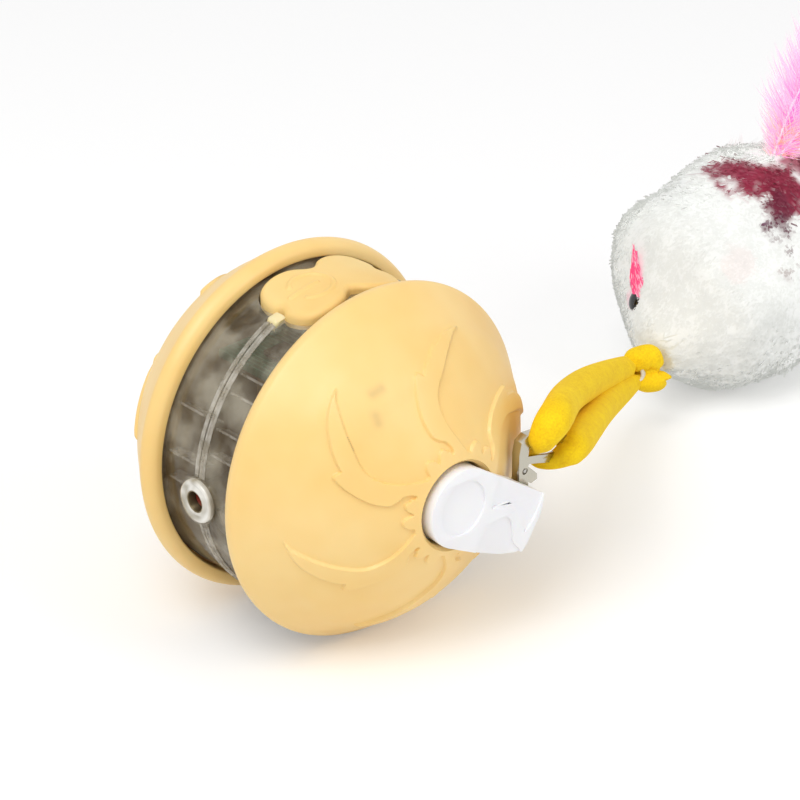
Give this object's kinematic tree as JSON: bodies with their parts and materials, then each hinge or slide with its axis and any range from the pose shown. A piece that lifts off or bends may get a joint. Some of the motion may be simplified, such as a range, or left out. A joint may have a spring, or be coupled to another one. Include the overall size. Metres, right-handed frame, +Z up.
{
  "type": "motorised cat ball",
  "caption": "Self-rolling cat ball with two domed drive wheels, a laser in its clear drum, a top button and a tail arm with a clip-on furry mouse teaser",
  "frame": {"origin": "middle of the whole toy on the floor, wheel axle along X", "axes": "+X towards the wheel with the tail arm, +Y from the ball to the mouse, +Z up"},
  "size_m": [0.0722, 0.182, 0.09],
  "materials": {
    "cream_abs": "satin moulded",
    "cream_pad": "fine grain",
    "white_abs": "satin moulded",
    "clear_polycarbonate": "polished clear",
    "grey_abs": "moulded",
    "acetal": "moulded",
    "board_green": "solder mask",
    "chip_black": "moulded",
    "steel": "plated",
    "nickel": "nickel plated",
    "brass": "turned",
    "lens_red": "polished",
    "battery_sleeve": "shrink sleeve",
    "wire_blue": "extruded",
    "wire_red": "extruded",
    "wire_black": "extruded",
    "yellow_velvet": "velvet",
    "white_elastic": "woven",
    "white_fur": "fur",
    "pink_felt": "felt",
    "eye_black": "polished",
    "pink_feather": "feather"
  },
  "bodies": {
    "ball_body": {"drum_shell_near": "clear_polycarbonate", "drum_shell_far": "clear_polycarbonate", "end_plate_near": "grey_abs", "end_plate_far": "grey_abs", "chassis": "grey_abs", "thrust_washer_near": "acetal", "thrust_washer_far": "acetal", "spindle_washer_far": "steel", "spindle_screw_far": "steel", "far_hub_cap": "white_abs", "motor_near": "steel", "motor_far": "steel", "laser_barrel": "brass", "laser_lens": "lens_red", "main_board": "board_green", "controller_chip": "chip_black", "tact_switch": "chip_black", "charge_socket": "steel", "battery_cell": "battery_sleeve", "laser_wire_blue": "wire_blue", "laser_wire_red": "wire_red", "cell_wire_red": "wire_red", "cell_wire_black": "wire_black"},
    "near_wheel": {"wheel_dome_near": "cream_abs", "ring_gear_near": "acetal"},
    "far_wheel": {"wheel_dome_far": "cream_abs", "ring_gear_far": "acetal"},
    "near_pinion": {"pinion_near": "acetal", "pinion_shaft_near": "steel"},
    "far_pinion": {"pinion_far": "acetal", "pinion_shaft_far": "steel"},
    "power_button": {"power_button_pad": "cream_pad"},
    "arm": {"tail_arm": "white_abs", "arm_pin": "steel", "spindle_washer_near": "steel", "spindle_screw_near": "steel"},
    "clasp": {"clasp_body": "nickel", "lever_pin": "nickel"},
    "lever": {"clasp_lever": "nickel"},
    "strap": {"velvet_strap": "yellow_velvet", "strap_knot": "yellow_velvet", "elastic_wrap": "white_elastic"},
    "mouse": {"mouse_body": "white_fur", "mouse_head": "white_fur", "mouse_eye": "eye_black", "mouse_ear": "pink_felt", "tail_feathers": "pink_feather"}
  },
  "joints": [
    {"name": "near_wheel_spin", "type": "hinge", "parent": "ball_body", "child": "near_wheel", "pos_m": [0.01811, -0.05701, 0.0339], "axis": [1, 0, 0], "continuous": true},
    {"name": "far_wheel_spin", "type": "hinge", "parent": "ball_body", "child": "far_wheel", "pos_m": [-0.02189, -0.05701, 0.0339], "axis": [1, 0, 0], "continuous": true},
    {"name": "near_pinion_spin", "type": "hinge", "parent": "ball_body", "child": "near_pinion", "pos_m": [0.01362, -0.0448, 0.01935], "axis": [1, 0, 0], "continuous": true},
    {"name": "far_pinion_spin", "type": "hinge", "parent": "ball_body", "child": "far_pinion", "pos_m": [-0.01739, -0.06922, 0.01935], "axis": [1, 0, 0], "continuous": true},
    {"name": "power_button_press", "type": "slide", "parent": "ball_body", "child": "power_button", "axis": [0, 0, -1], "range_m": [0, 0.00045], "stiffness_N_per_m": 900},
    {"name": "arm_swivel", "type": "hinge", "parent": "ball_body", "child": "arm", "pos_m": [0.03112, -0.05701, 0.0339], "axis": [1, 0, 0], "continuous": true},
    {"name": "clasp_swing", "type": "hinge", "parent": "arm", "child": "clasp", "pos_m": [0.02961, -0.03959, 0.02747], "axis": [1, 0, 0], "range_deg": [-25, 10]},
    {"name": "lever_open", "type": "hinge", "parent": "clasp", "child": "lever", "pos_m": [0.02961, -0.03898, 0.03301], "axis": [1, 0, 0], "range_deg": [0, 7], "stiffness_Nm_per_rad": 0.005},
    {"name": "strap_swing", "type": "hinge", "parent": "clasp", "child": "strap", "pos_m": [0.02957, -0.03352, 0.03368], "axis": [0, 1, 0], "range_deg": [0, 20]},
    {"name": "mouse_turn", "type": "hinge", "parent": "strap", "child": "mouse", "pos_m": [-0.00839, 0.02979, 0.0146], "axis": [0, 0, 1], "range_deg": [-15, 15]}
  ],
  "couplings": [
    {"joint": "near_pinion_spin", "follows": "near_wheel_spin", "ratio": 4.8},
    {"joint": "far_pinion_spin", "follows": "far_wheel_spin", "ratio": 4.8}
  ]
}
